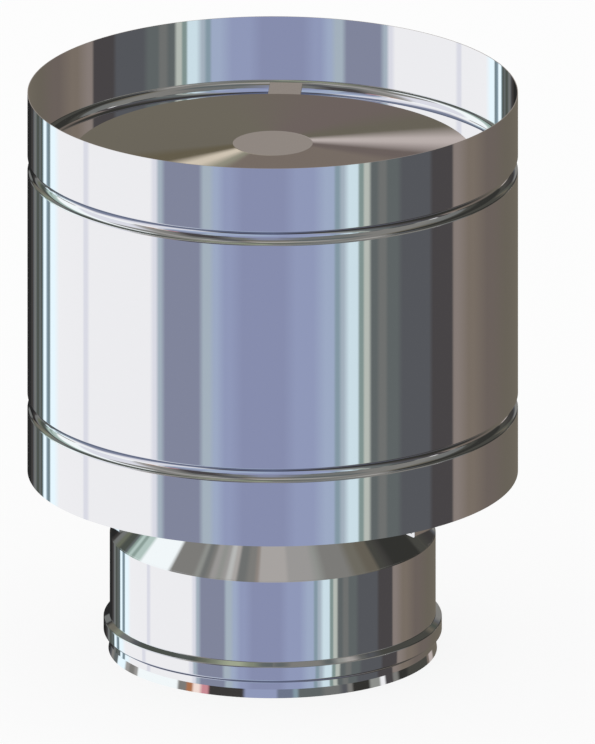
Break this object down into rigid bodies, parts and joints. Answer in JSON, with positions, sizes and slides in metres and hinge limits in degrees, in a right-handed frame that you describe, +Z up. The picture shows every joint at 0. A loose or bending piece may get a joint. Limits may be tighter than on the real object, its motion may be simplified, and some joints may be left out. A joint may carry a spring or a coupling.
{
  "type": "chimney cowl",
  "caption": "Round cowl for a twin-wall flue: a beaded cylindrical shell open above and below, carried on bent straps round a flared flue outlet, with a shallow rain cap inside its mouth.",
  "frame": {"origin": "centre of the jacket's lower edge, the level that it stands on", "axes": "+Z up along the flue's axis; the first bracket's level tab lies towards +Y, the back"},
  "size_m": [0.301, 0.301, 0.3581],
  "materials": {
    "bright_stainless": "bright annealed sheet, close to a mirror",
    "flue_stainless": "satin mill finish",
    "strap_stainless": "bright bar, bent cold"
  },
  "bodies": {
    "root": {"jacket": "bright_stainless", "flue_tube": "flue_stainless", "cone": "bright_stainless", "diffuser": "flue_stainless", "shell": "bright_stainless", "cap": "bright_stainless", "bracket_1": "strap_stainless", "bracket_2": "strap_stainless", "bracket_3": "strap_stainless"}
  },
  "joints": []
}
